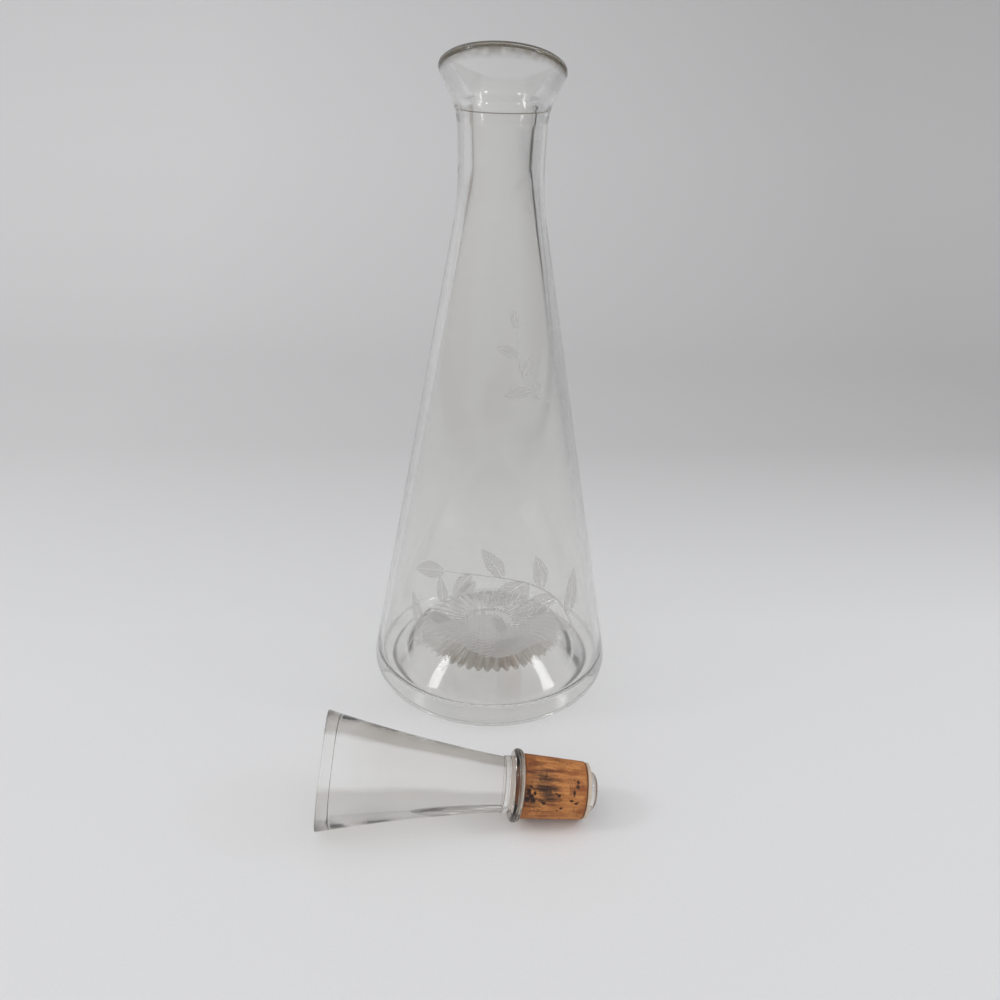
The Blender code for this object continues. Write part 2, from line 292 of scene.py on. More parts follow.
def corner(radius, height, rounding=0.0, steps=0, parts=1, room=EDGE_SHARE):
    """A corner, its rounding and steps, and how many parts the straight run after it has.

    room is the most of a neighbouring straight edge that the rounding may use up.
    """
    return Corner(Vector((radius, height)), rounding, steps, parts, room)


def rounded(before, here, after):
    """The arc that rounds a corner, limited by the straight edges beside it."""
    back = before.point - here.point
    ahead = after.point - here.point
    half_angle = back.angle(ahead) / 2
    room = here.room * min(back.length, ahead.length)
    reach = min(here.rounding / math.tan(half_angle), room)
    start = here.point + back.normalized() * reach
    end = here.point + ahead.normalized() * reach
    middle_way = (back.normalized() + ahead.normalized()).normalized()
    centre = here.point + middle_way * (reach / math.cos(half_angle))
    spoke = start - centre
    turn = math.copysign(math.pi - 2 * half_angle, spoke.cross(end - centre))
    return [
        centre + Matrix.Rotation(turn * step / here.steps, 2) @ spoke
        for step in range(here.steps + 1)
    ]


def outline(corners):
    """Points of an open outline: rounded corners, and straight runs cut into even parts."""
    arcs = [[corners[0].point]]
    for before, here, after in zip(corners, corners[1:], corners[2:]):
        arcs.append(rounded(before, here, after) if here.steps else [here.point])
    arcs.append([corners[-1].point])
    points = []
    for here, arc, following in zip(corners, arcs, arcs[1:]):
        points += arc
        points += [arc[-1].lerp(following[0], part / here.parts) for part in range(1, here.parts)]
    return points + arcs[-1]


# The decanter's sections


def neck_radius(s):
    """Outer radius of the neck at its narrowest."""
    return s.bore_radius + s.neck_wall


def foot_inner_radius(s):
    """Inner radius of the flat ring that the decanter stands on."""
    return s.cone_foot_radius - s.foot_width


def sunburst_radius(s):
    """Radius of the sunburst's outer edge."""
    return foot_inner_radius(s) - s.cove_width


def neck_and_crease(s):
    """The neck's top corner, and the edge of the small step under the mouth."""
    neck_top = Vector((neck_radius(s) + s.neck_spread, s.shoulder_height + s.neck_length))
    return neck_top, neck_top + Vector((s.crease_step, s.crease_rise))


def lip_corners(s, crease, direction):
    """Inner and outer corner of the lip; it ends the flared wall squarely, at a slanted height."""
    slant = -math.sin(direction - s.mouth_turn) * math.tan(s.mouth_tilt)
    flare = Vector((s.mouth_spread, s.mouth_rise))
    radius = (crease.x + flare.x) / (1 - flare.x / flare.y * slant)
    outer = Vector((radius, crease.y + flare.y + radius * slant))
    across = Vector((-flare.y, flare.x)).normalized()
    return outer + across * s.lip_thickness, outer


def wall_section(s, direction):
    """The decanter's glass in one direction, from the inside floor's middle to the foot."""
    floor_edge = (sunburst_radius(s), s.sunburst_height + s.floor_thickness)
    dome_height = s.sunburst_height + s.dome_rise
    cone_slope = (s.cone_foot_radius - neck_radius(s)) / s.shoulder_height
    gutter_radius = s.cone_foot_radius - cone_slope * s.gutter_height - s.cone_wall
    neck_top, crease = neck_and_crease(s)
    throat = Vector((s.bore_radius + s.throat_ease, crease.y + s.throat_rise))
    lip_inner, lip_outer = lip_corners(s, crease, direction)
    return outline([
        corner(0, dome_height + s.floor_thickness, parts=10),
        corner(*floor_edge, s.floor_edge_rounding, 10, 3),
        corner(gutter_radius, s.gutter_height, s.gutter_rounding, 14, 36),
        corner(s.bore_radius, s.shoulder_height + s.bore_foot_rise, s.bore_foot_rounding, 12, 6),
        corner(*throat, s.throat_rounding, 10, 8),
        corner(*lip_inner, s.lip_rounding, 8),
        corner(*lip_outer, s.lip_rounding, 8, 8),
        corner(*crease, s.crease_rounding, 3),
        corner(*neck_top, s.crease_cove, 10, 4),
        corner(neck_radius(s), s.shoulder_height, s.shoulder_rounding, 18, 36),
        corner(s.cone_foot_radius, 0, s.heel_rounding, 16, 4, HEEL_SHARE),
        corner(foot_inner_radius(s), 0),
    ])[:-1]


def dome(s, radius):
    """Height of the dome over the sunburst, without its ribs."""
    return s.sunburst_height + s.dome_rise * (1 - (radius / sunburst_radius(s)) ** 2)


def underside_section(s, direction):
    """The pressed underside in one direction, from the foot's inner edge to the middle."""
    rib = s.rib_depth * abs(math.cos(direction * s.rib_count / 2))
    outer = sunburst_radius(s)
    inner = outer - s.sunburst_width
    cove_slope = s.cove_width / s.sunburst_height
    corners = [
        corner(s.cone_foot_radius, 0),
        corner(foot_inner_radius(s), 0, s.foot_edge_rounding, 6, 6),
        corner(outer + rib * cove_slope, s.sunburst_height - rib),
    ]
    rib_parts = 8
    rib_end = inner + s.sunburst_run_out
    for part in range(1, rib_parts + 1):
        radius = outer + (rib_end - outer) * part / rib_parts
        corners.append(corner(radius, dome(s, radius) - rib * radius / outer))
    for radius in (inner, inner * 0.75, inner * 0.5, inner * 0.25, 0):
        corners.append(corner(radius, dome(s, radius)))
    return outline(corners)[1:]


# Meshes


def lathe(sections):
    """Vertices and faces of a closed body from its sections, evenly spaced round the Z axis.

    The first and the last point of a section lie on the axis, or the section is a closed loop.
    """
    steps = len(sections)
    points = len(sections[0])
    verts, rows = [], []
    for place in range(points):
        if all(section[place].x == 0 for section in sections):
            rows.append([len(verts)] * steps)
            verts.append((0, 0, sections[0][place].y))
            continue
        rows.append([len(verts) + step for step in range(steps)])
        for step, section in enumerate(sections):
            direction = math.tau * step / steps
            point = section[place]
            verts.append((point.x * math.cos(direction), point.x * math.sin(direction), point.y))
    closed = sections[0][0].x != 0
    pairs = list(zip(rows, rows[1:])) + ([(rows[-1], rows[0])] if closed else [])
    faces = []
    for first, second in pairs:
        for step in range(steps):
            face = (first[step], first[step - 1], second[step - 1], second[step])
            faces.append(tuple(dict.fromkeys(face)))
    return verts, faces


def piece_of(name, verts, faces, material):
    """A smooth-shaded object with its sharp edges kept."""
    mesh = bpy.data.meshes.new(name)
    mesh.from_pydata([tuple(vert) for vert in verts], [], faces)
    mesh.validate()
    mesh.shade_smooth()
    mesh.set_sharp_from_angle(angle=SHARP_ANGLE)
    mesh.materials.append(material)
    piece = bpy.data.objects.new(name, mesh)
    bpy.context.scene.collection.objects.link(piece)
    return piece


def decanter_axis():
    """Foot of the decanter's axis on the table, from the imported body."""
    low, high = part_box("decanter_body")
    return Vector(((low.x + high.x) / 2, (low.y + high.y) / 2, 0))


# Nodes


# Added to a coordinate, because a ramp takes no values below zero
SHIFT = 0.5
GLASS_IOR = 1.5
GLASS_ROUGHNESS = ((0.45, 0.05), (0.8, 0.10))
DECANTER_WAVINESS = 0.05
STOPPER_WAVINESS = 0.03
BUMP_HEIGHT = 0.001
# How far towards the front the painted shade on the lip and in the crease fades in, and the least of
# that painted shade that shows its own colour
FRONT_FADE = 0.01
FAINTEST_SHADE = 0.02
# How far the stopper's bands of painted shade are turned about its length, and how much they are
# frayed
BAND_TURN = math.radians(41)
BAND_FRAYING = 0.22

# Noise in a piece's own coordinates
Grain = namedtuple("Grain", "stretch scale detail roughness")

EVEN = (1, 1, 1)
WAVES = Grain((1, 1, 0.35), 42, 1.0, 0.5)
HANDLING = Grain(EVEN, 90, 4.0, 0.5)
CLOUDS = Grain(EVEN, 160, 3.0, 0.5)
LIP_PATCHES = Grain(EVEN, 300, 3.0, 0.5)
STREAKS = Grain((1, 1, 0.2), 130, 3.0, 0.5)
GRIT = Grain(EVEN, 2200, 2.0, 0.5)
CORK_GRAIN = Grain((1, 1, 0.14), 620, 5.0, 0.65)
CORK_PATCHES = Grain((1, 1, 0.7), 170, 4.0, 0.6)
CORK_CRACKS = Grain((0.22, 0.22, 1), 520, 3.0, 0.6)
CORK_SPECKS = Grain((1, 1, 0.7), 1500, 2.0, 0.5)
MILK = Grain(EVEN, 400, 3.0, 0.5)
FIBRES = Grain(EVEN, 900, 3.0, 0.5)


class Tree:
    """A short way to add and join nodes."""

    def __init__(self, tree):
        self.tree = tree
        tree.nodes.clear()

    def add(self, kind, inputs=None, **settings):
        """A node with its settings; inputs come by name, as values or as sockets."""
        node = self.tree.nodes.new(kind)
        for name, value in settings.items():
            setattr(node, name, value)
        for name, value in (inputs or {}).items():
            socket = node.inputs[name]
            if isinstance(value, bpy.types.NodeSocket):
                self.tree.links.new(value, socket)
            else:
                socket.default_value = (*value[:3], 1) if socket.type == "RGBA" else value
        return node

    def math(self, operation, *values):
        """A Math node's result."""
        return self.add("ShaderNodeMath", dict(enumerate(values)), operation=operation).outputs[0]

    def plus(self, *values):
        """The sum of values."""
        return reduce(partial(self.math, "ADD"), values)

    def times(self, *values):
        """The product of values."""
        return reduce(partial(self.math, "MULTIPLY"), values)

    def greatest(self, *values):
        """The greatest of values."""
        return reduce(partial(self.math, "MAXIMUM"), values)

    def ramp(self, value, *stops):
        """A value mapped through stops of (place, colour), with grey levels as plain numbers."""
        node = self.add("ShaderNodeValToRGB", {"Fac": value})
        elements = node.color_ramp.elements
        while len(elements) < len(stops):
            elements.new(0.5)
        for element, (place, tone) in zip(elements, stops):
            element.position = place
            element.color = (*tone, 1) if hasattr(tone, "__len__") else (tone, tone, tone, 1)
        return node.outputs["Color"]

    def blend(self, factor, first, second):
        """Two colours mixed."""
        inputs = {0: factor, 6: first, 7: second}
        return self.add("ShaderNodeMix", inputs, data_type="RGBA").outputs[2]

    def place(self, output="Object"):
        """Coordinates, by default the piece's own, whole and as X, Y and Z."""
        place = self.add("ShaderNodeTexCoord").outputs[output]
        return place, *self.add("ShaderNodeSeparateXYZ", {"Vector": place}).outputs

    def grain(self, grain):
        """A Noise Texture's value in the piece's own coordinates."""
        place = self.add("ShaderNodeTexCoord").outputs["Object"]
        mapping = self.add("ShaderNodeMapping", {"Vector": place, "Scale": grain.stretch})
        return self.add("ShaderNodeTexNoise", {
            "Vector": mapping.outputs["Vector"], "Scale": grain.scale, "Detail": grain.detail,
            "Roughness": grain.roughness,
        }).outputs["Fac"]

    def attribute(self, name):
        """A value that is stored on the mesh."""
        return self.add("ShaderNodeAttribute", attribute_name=name).outputs["Fac"]

    def bump(self, height, strength, distance):
        """A normal that follows a height."""
        inputs = {"Height": height, "Strength": strength, "Distance": distance}
        return self.add("ShaderNodeBump", inputs).outputs["Normal"]

    def principled(self, **inputs):
        """A Principled shader; an input is named with underscores for its spaces."""
        inputs = {name.replace("_", " "): value for name, value in inputs.items()}
        return self.add("ShaderNodeBsdfPrincipled", inputs).outputs[0]

    def see_through(self, tint):
        """A Transparent shader."""
        return self.add("ShaderNodeBsdfTransparent", {"Color": tint}).outputs[0]

    def mix(self, factor, first, second):
        """Two shaders mixed."""
        return self.add("ShaderNodeMixShader", {0: factor, 1: first, 2: second}).outputs[0]

    def surface(self, shader):
        """Use a shader as the material's surface."""
        self.add("ShaderNodeOutputMaterial", {"Surface": shader})


def new_material(name):
    """An empty node material."""
    material = bpy.data.materials.new(name)
    material.use_nodes = True
    return material, Tree(material.node_tree)


def clear_glass(tree, tint, shadow, waviness):
    """Clear pressed glass: faint tint, faint waves, and light that lands on the table passes."""
    glass = tree.principled(
        Base_Color=tint,
        Roughness=tree.ramp(tree.grain(HANDLING), *GLASS_ROUGHNESS),
        IOR=GLASS_IOR,
        Transmission_Weight=1.0,
        Normal=tree.bump(tree.grain(WAVES), waviness, BUMP_HEIGHT),
    )
    path = tree.add("ShaderNodeLightPath").outputs
    landing = tree.greatest(path["Is Shadow Ray"], path["Is Diffuse Ray"])
    return tree.mix(landing, glass, tree.see_through(shadow))


# Stops of ramps, as (place, amount); a place is in metres, a share or a grain's value
CLOUD_STOPS = (0.3, 0.6), (0.7, 1.0)
LIP_STOPS = (0.35, 0.35), (0.65, 1.0)
# The next stops shape the painted shade in the ribs under the foot, strongest at the front.
RIB_STOPS = (0.3, 0.35), (0.5, 1.0), (0.98, 1.0), (1.0, 0.0)
NEAR_STOPS = (SHIFT - 0.026, 1.0), (SHIFT + 0.01, 0.2)
FOOT_SHADE_WIDTH = (0.013, 1.0), (0.029, 0.0)
FOOT_SHADE_START = (0.006, 0.0), (0.018, 1.0)


def decanter_material(looks, s):
    """Clear glass with painted shade: a dark band on the lip's front, a dark line in the crease, and
    brownish shade in the ribs under the foot.
    """
    material, tree = new_material("clear_glass")
    x, y, z = tree.place()[1:]
    radius = tree.math("SQRT", tree.plus(tree.math("POWER", x, 2.0), tree.math("POWER", y, 2.0)))
    front = tree.ramp(tree.times(y, -1 / FRONT_FADE), (0.0, 0.0), (1.0, 1.0))
    cloud = tree.ramp(tree.grain(CLOUDS), *CLOUD_STOPS)

    # Painted shade: the dark table under the foot, seen brown through the ribs, strongest at the
    # front.
    outward = tree.math("DIVIDE", radius, sunburst_radius(s))
    ribs = tree.ramp(outward, *RIB_STOPS)
    low = tree.math("LESS_THAN", z, s.sunburst_height + s.dome_rise)
    near = tree.ramp(tree.plus(y, SHIFT), *NEAR_STOPS)
    residue = tree.times(ribs, low, cloud, near)
    tint = tree.blend(residue, looks.glass, looks.residue)
    middle = tree.ramp(tree.math("ABSOLUTE", x), *FOOT_SHADE_WIDTH)
    nearest = tree.ramp(tree.times(y, -1.0), *FOOT_SHADE_START)
    foot_shade_layer = tree.times(middle, nearest, residue, looks.residue_cover)

    # Painted shade: a dark band on the lip, at the front only.
    patches = tree.ramp(tree.grain(LIP_PATCHES), *LIP_STOPS)
    shadowed = tree.times(tree.attribute("lip"), patches, looks.lip_shade_cover, front)
    # Painted shade: a dark line in the crease under the mouth, at the front only.
    from_crease = tree.math("SUBTRACT", z, neck_and_crease(s)[1].y)
    in_crease = tree.math("LESS_THAN", tree.math("ABSOLUTE", from_crease), looks.crease_line / 2)
    outside = tree.math("GREATER_THAN", radius, neck_radius(s))
    lip_and_crease_shade = tree.greatest(shadowed, tree.times(in_crease, outside, front, looks.lip_shade_cover))

    hazy = tree.times(cloud, looks.haze_cover)
    # The layer over the glass: the faint haze, and the painted shade of the lip, the crease and the
    # ribs.
    tone = tree.blend(tree.math("GREATER_THAN", lip_and_crease_shade, FAINTEST_SHADE), looks.haze, looks.lip_shade)
    tone = tree.blend(tree.math("GREATER_THAN", foot_shade_layer, hazy), tone, looks.residue)
    haze_and_shade = tree.principled(Base_Color=tone, Roughness=0.5)
    glass = clear_glass(tree, tint, looks.glass_shadow, DECANTER_WAVINESS)
    tree.surface(tree.mix(tree.greatest(lip_and_crease_shade, hazy, foot_shade_layer), glass, haze_and_shade))
    return material


# Where the painted shade of the bands and of the brown corners begins, from 0 at the head's middle to
# 1 at its top or foot
UPPER_BAND = (0.58, 0.0), (0.66, 1.0)
LOWER_BAND = (0.22, 0.0), (0.36, 0.8)
END_SHADE_STOPS = (0.80, 0.0), (0.92, 1.0)
# How far from the flat end the painted shade of the brown corners reaches
AT_DISC = (0.001, 1.0), (0.008, 0.0)


def stopper_material(looks, p):
    """Clear glass, solid right through, with painted shade in beige bands along its head and in brown
    corners at its flat end, and a beige flange.
    """
    material, tree = new_material("stopper_clear_glass")
    x, y, z = tree.place()[1:]
    squares = tree.plus(tree.math("POWER", x, 2.0), tree.math("POWER", y, 2.0))
    upwards = tree.plus(tree.times(x, math.cos(BAND_TURN)), tree.times(y, math.sin(BAND_TURN)))
    upwards = tree.math("DIVIDE", upwards, tree.math("SQRT", squares))
    streaks = tree.math("SUBTRACT", tree.grain(STREAKS), 0.5)
    upwards = tree.plus(upwards, tree.times(streaks, BAND_FRAYING))
    # Painted shade: the beige bands along the head.
    upper_band = tree.ramp(upwards, *UPPER_BAND)
    lower_band = tree.ramp(tree.times(upwards, -1.0), *LOWER_BAND)
    on_head = tree.math("GREATER_THAN", tree.plus(z, p.head_end), 0.0)
    bands = tree.times(tree.greatest(upper_band, lower_band), on_head)
    # Painted shade: the brown corners at the head's flat end.
    end_corner_shade = tree.ramp(tree.math("ABSOLUTE", upwards), *END_SHADE_STOPS)
    at_disc = tree.ramp(tree.times(z, -1.0), *AT_DISC)
    past_head = tree.math("LESS_THAN", tree.plus(z, p.flange_start), 0.0)
    on_flange = tree.times(past_head, tree.math("GREATER_THAN", squares, p.collar_radius ** 2))
    tint = tree.blend(bands, looks.stopper, looks.stopper_band_shade)
    tint = tree.blend(tree.times(end_corner_shade, at_disc), tint, looks.stopper_end_shade)
    tint = tree.blend(on_flange, tint, looks.flange)
    tree.surface(clear_glass(tree, tint, looks.stopper_shadow, STOPPER_WAVINESS))
    return material


def give_values(piece, name, sections, values):
    """Store one value for each point of each section on the vertices that lathe made of them."""
    listed = []
    for place in range(len(sections[0])):
        row = [section_values[place] for section_values in values]
        on_axis = all(section[place].x == 0 for section in sections)
        listed += row[:1] if on_axis else row
    piece.data.attributes.new(name, "FLOAT", "POINT").data.foreach_set("value", listed)


def lip_shares(s, direction, section):
    """How near each point of a section is to the lip: 1 on it, and 0 one lip's thickness away."""
    inner, outer = lip_corners(s, neck_and_crease(s)[1], direction)
    middle = (inner + outer) / 2
    return [
        max(0.0, min(1.0, 2 - (point - middle).length / s.lip_thickness * 2))
        for point in section
    ]


class DECANTER_OT_glass(bpy.types.Operator):
    """Build the decanter's glass: cone, neck, slant-cut mouth and ribbed foot"""

    bl_idname = "decanter.glass"
    bl_label = "Decanter Glass"

    def execute(self, context):
        s = context.scene.decanter_sizes
        steps = STEPS_PER_RIB * s.rib_count
        directions = [math.tau * step / steps for step in range(steps)]
        sections = [
            wall_section(s, direction) + underside_section(s, direction)
            for direction in directions
        ]
        verts, faces = lathe(sections)
        material = decanter_material(context.scene.decanter_looks, s)
        piece = piece_of("decanter_glass", verts, faces, material)
        shares = [lip_shares(s, *pair) for pair in zip(directions, sections)]
        give_values(piece, "lip", sections, shares)
        piece.location = decanter_axis()
        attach(piece, "decanter")
        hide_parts("decanter_body")
        return {"FINISHED"}


# The etching

# The least width of a film, and how far a vein runs back on its way to the leaf's edge
NARROWEST = 0.00004
VEIN_SLANT = 0.22
FILM_CLEARNESS = (0.985, 0.985, 0.985)
# Waves and rags of the ground's lower and upper edge, as (height or share, how often)
LOW_WAVE, LOW_RAGS = (0.003, 9), (0.0012, 60)
HIGH_WAVE, HIGH_RAGS = (0.18, 17), (0.0035, 45)
LEAST_GROUND = 0.0004
# Exponents: how full the ends of the ground and of a leaf are, and where a leaf is widest
GROUND_FULLNESS, LEAF_FULLNESS, LEAF_BELLY = 0.7, 0.85, 0.8
# Size of a spray's first leaf, how much the leaves shrink along it, and how much they differ
FIRST_LEAF, SHRINKING, UNLIKENESS, UNLIKE_OFTEN = 1.05, 0.35, 0.12, 2.4
# Stops for the film's ramps
VEIN_STOPS = (0.0, 0.35), (0.3, 1.0), (0.75, 1.0), (1.0, 0.35)
GRIT_STOPS = (0.3, 0.7), (0.7, 1.0)
FROST_ROUGHNESS = (0.7, 0.7), (1.0, 0.9)

# Foot, bend and tip of a stem are turns from straight ahead in degrees, and heights
Spray = namedtuple("Spray", "foot bend tip leaves scale")

SPRAYS = (
    Spray((44, 0.130), (14, 0.131), (14, 0.157), 5, 0.62),
    Spray((46, 0.036), (34, 0.072), (-30, 0.066), 7, 1.1),
    Spray((-48, 0.028), (-44, 0.044), (-20, 0.058), 5, 0.8),
    Spray((-4, 0.034), (4, 0.042), (14, 0.056), 4, 0.6),
)


def cone_radius(s, height):
    """Outer radius of the cone at a height."""
    return s.cone_foot_radius - (s.cone_foot_radius - neck_radius(s)) / s.shoulder_height * height


def film(s, e, grid, first):
    """A thin closed film over the cone from rows of flat points: its vertices and faces."""
    rows, columns = len(grid), len(grid[0])
    verts, faces = [], []
    for off in (e.film_gap, e.film_gap + e.film_thickness):
        for row in grid:
            for point in row:
                radius = cone_radius(s, point.y) + off
                turn = point.x / cone_radius(s, point.y) - math.pi / 2
                verts.append((radius * math.cos(turn), radius * math.sin(turn), point.y))
    layer = rows * columns
    loop = [(row, 0) for row in range(rows)]
    loop += [(rows - 1, column) for column in range(1, columns)]
    loop += [(row, columns - 1) for row in range(rows - 2, -1, -1)]
    loop += [(0, column) for column in range(columns - 2, 0, -1)]
    for row in range(rows - 1):
        for column in range(columns - 1):
            here = first + row * columns + column
            quad = (here, here + 1, here + columns + 1, here + columns)
            faces.append(quad)
            faces.append(tuple(vert + layer for vert in reversed(quad)))
    ring = [first + row * columns + column for row, column in loop]
    for here, after in zip(ring, ring[1:] + ring[:1]):
        faces.append((here, after, after + layer, here + layer))
    middle = grid[rows // 2]
    if (grid[rows // 2 + 1][0] - middle[0]).cross(middle[-1] - middle[0]) < 0:
        faces = [tuple(reversed(face)) for face in faces]
    return verts, faces


def half_leaf(e, foot, heading, scale, side):
    """Rows of points of one half of a toothed leaf, from the midrib outwards."""
    ahead = Vector((math.cos(heading), math.sin(heading)))
    across = Vector((-ahead.y, ahead.x)) * side
    parts, columns = 26, 4
    grid = []
    for part in range(parts + 1):
        along = part / parts
        curl = Vector((-ahead.y, ahead.x)) * (e.leaf_curl * along ** 2)
        middle = foot + (ahead * along + curl) * (e.leaf_length * scale)
        full = e.leaf_width * scale / 2 * math.sin(math.pi * along ** LEAF_BELLY) ** LEAF_FULLNESS
        tooth = 1 - e.tooth_depth * (along * e.leaf_teeth % 1)
        inner = e.midrib_width * scale / 2 * (1 - along) + NARROWEST / 2
        outer = max(inner + NARROWEST, full * tooth)
        grid.append([
            middle + across * (inner + (outer - inner) * column / columns)
            for column in range(columns + 1)
        ])
    return grid


def stem(e, places, scale):
    """Rows of points of a stem that thins out towards its tip."""
    grid = []
    for number, place in enumerate(places):
        after = places[min(number + 1, len(places) - 1)]
        before = places[max(number - 1, 0)]
        way = (after - before).normalized()
        half = e.stem_width * scale / 2 * (1 - e.stem_taper * number / (len(places) - 1))
        across = Vector((-way.y, way.x)) * half
        grid.append([place - across, place + across])
    return grid


def wave(size, often, along):
    """A slow wave along the ground."""
    return size * math.sin(along * often)


def rags(size, often, along, row):
    """A ragged edge along the ground."""
    return size * noise.noise(Vector((along * often, row, 3.0)))


def ground_grid(s, e):
    """Rows of points of the shaded ground that the lower sprays stand before."""
    parts, columns = 150, 5
    grid = []
    for part in range(parts + 1):
        along = part / parts
        turn = e.ground_start + e.ground_sweep * along
        low = e.ground_foot + wave(*LOW_WAVE, along) + rags(*LOW_RAGS, along, 0.0)
        rise = e.ground_height * math.sin(math.pi * along) ** GROUND_FULLNESS
        rise *= 1 - HIGH_WAVE[0] + wave(*HIGH_WAVE, along)
        high = low + LEAST_GROUND + rise + max(0.0, rags(*HIGH_RAGS, along, 5.0))
        grid.append([
            Vector((turn * cone_radius(s, height), height))
            for height in (low + (high - low) * column / columns for column in range(columns + 1))
        ])
    return grid


def spray_grids(s, e, spray):
    """Every film of one spray in the plane, as (rows of points, number of veins)."""
    corners = [
        Vector((math.radians(turn) * cone_radius(s, height), height))
        for turn, height in (spray.foot, spray.bend, spray.tip)
    ]
    parts = 30
    places = []
    for part in range(parts + 1):
        along = part / parts
        first = corners[0].lerp(corners[1], along)
        second = corners[1].lerp(corners[2], along)
        places.append(first.lerp(second, along))
    grids = [(stem(e, places, spray.scale), 0)]
    for leaf in range(spray.leaves):
        along = (leaf + 1) / spray.leaves
        number = round(along * parts)
        foot = places[number]
        way = foot - places[number - 1]
        side = 0 if number == parts else (1 if leaf % 2 else -1)
        heading = math.atan2(way.y, way.x) + side * e.leaf_angle
        unlike = UNLIKENESS * math.sin(leaf * UNLIKE_OFTEN)
        scale = spray.scale * (FIRST_LEAF - SHRINKING * along + unlike)
        for half in (-1, 1):
            grids.append((half_leaf(e, foot, heading, scale, half), e.leaf_veins))
    return grids


def frost_material(looks):
    """Frosted glass: a thin, pale, see-through film with finely engraved veins."""
    material, tree = new_material("frosted_etching")
    vein = tree.math("FRACT", tree.attribute("vein"))
    line = tree.ramp(vein, *VEIN_STOPS)
    grit = tree.ramp(tree.grain(GRIT), *GRIT_STOPS)
    roughness = tree.ramp(grit, *FROST_ROUGHNESS)
    pale = tree.principled(Base_Color=looks.frost, Roughness=roughness)
    clear = tree.see_through(FILM_CLEARNESS)
    tree.surface(tree.mix(tree.times(line, grit, looks.frost_cover), clear, pale))
    return material


class DECANTER_OT_etching(bpy.types.Operator):
    """Etch the leaf sprays into the decanter's front, as thin frosted films"""

    bl_idname = "decanter.etching"
    bl_label = "Leaf Etching"

    def execute(self, context):
        s, e = context.scene.decanter_sizes, context.scene.etching_sizes
        verts, faces, veins = [], [], []
        grids = [(ground_grid(s, e), e.ground_veins)]
        for spray in SPRAYS:
            grids += spray_grids(s, e, spray)
        for grid, vein_count in grids:
            new_verts, new_faces = film(s, e, grid, len(verts))
            verts += new_verts
            faces += new_faces
            last = len(grid) - 1
            for _ in range(2):
                for number, row in enumerate(grid):
                    veins += [
                        vein_count * (number / last - VEIN_SLANT * column / (len(row) - 1)) + 0.5
                        for column in range(len(row))
                    ]
        material = frost_material(context.scene.decanter_looks)
        piece = piece_of("leaf_etching", verts, faces, material)
        piece.data.attributes.new("vein", "FLOAT", "POINT").data.foreach_set("value", veins)
        piece.location = decanter_axis()
        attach(piece, "decanter")
        return {"FINISHED"}


# The stopper's sections


def stopper_places(s, bore_radius):
    """Named radii and stations along the stopper, from its flat end."""
    place = {"cork_end_radius": bore_radius + s.cork_squeeze}
    place["cork_top_radius"] = place["cork_end_radius"] + s.cork_taper
    place["peg_radius"] = place["cork_end_radius"] - s.cork_wall - s.fitting_gap
    place["ring_radius"] = place["cork_end_radius"] - s.ring_inset
    place["flange_radius"] = place["cork_top_radius"] + s.flange_overhang
    place["collar_radius"] = place["flange_radius"] - s.flange_step
    station = s.disc_thickness
    for name, step in (
        ("head_end", s.head_length), ("flange_start", s.collar_length),
        ("flange_end", s.flange_thickness), ("cork_start", s.fitting_gap),
        ("cork_end", s.cork_length), ("ring_start", s.fitting_gap),
        ("ring_end", s.ring_thickness), ("tip_end", s.tip_length),
    ):
        station += step
        place[name] = station
    return namedtuple("Places", place)(**place)


def stopper_glass_corners(s, p):
    """The stopper's glass, from the middle of its flat end to the tip of its peg."""
    start = Vector((s.disc_radius - s.disc_step, -s.disc_thickness))
    end = Vector((p.collar_radius - s.head_foot_step, -p.head_end))
    curve = []
    parts = 40
    for part in range(parts + 1):
        along = part / parts
        point = start.lerp(end, along)
        hollow = s.head_hollow * (1 - (2 * along - 1) ** 2)
        curve.append(corner(point.x - hollow, point.y))
    return [
        corner(0, 0, parts=12),
        corner(s.disc_radius, 0, s.disc_rounding, 6),
        corner(s.disc_radius, -s.disc_thickness, s.disc_rounding, 6),
        *curve,
        corner(p.collar_radius, -p.head_end, s.collar_rounding, 5, 3),
        corner(p.collar_radius, -p.flange_start, parts=2),
        corner(p.flange_radius, -p.flange_start, s.flange_rounding, 10),
        corner(p.flange_radius, -p.flange_end, s.flange_rounding, 10, 3),
        corner(p.peg_radius, -p.flange_end, parts=12),
        corner(p.peg_radius, -p.tip_end, s.tip_rounding, 10, 4),
        corner(0, -p.tip_end),
    ]


def cork_corners(s, p):
    """One side of the cork sleeve."""
    bore = p.peg_radius + s.fitting_gap
    return [
        corner(bore, -p.cork_start, parts=3),
        corner(p.cork_top_radius, -p.cork_start, s.cork_rounding, 5, 130),
        corner(p.cork_end_radius, -p.cork_end, s.cork_rounding, 5, 3),
        corner(bore, -p.cork_end, parts=6),
    ]


def ring_corners(s, p):
    """One side of the milky ring."""
    bore = p.peg_radius + s.fitting_gap
    return [
        corner(bore, -p.ring_start, parts=3),
        corner(p.ring_radius, -p.ring_start, s.ring_edge_rounding, 3, 2),
        corner(p.ring_radius, -p.ring_end, s.ring_rounding, 8, 3),
        corner(bore, -p.ring_end, parts=3),
    ]


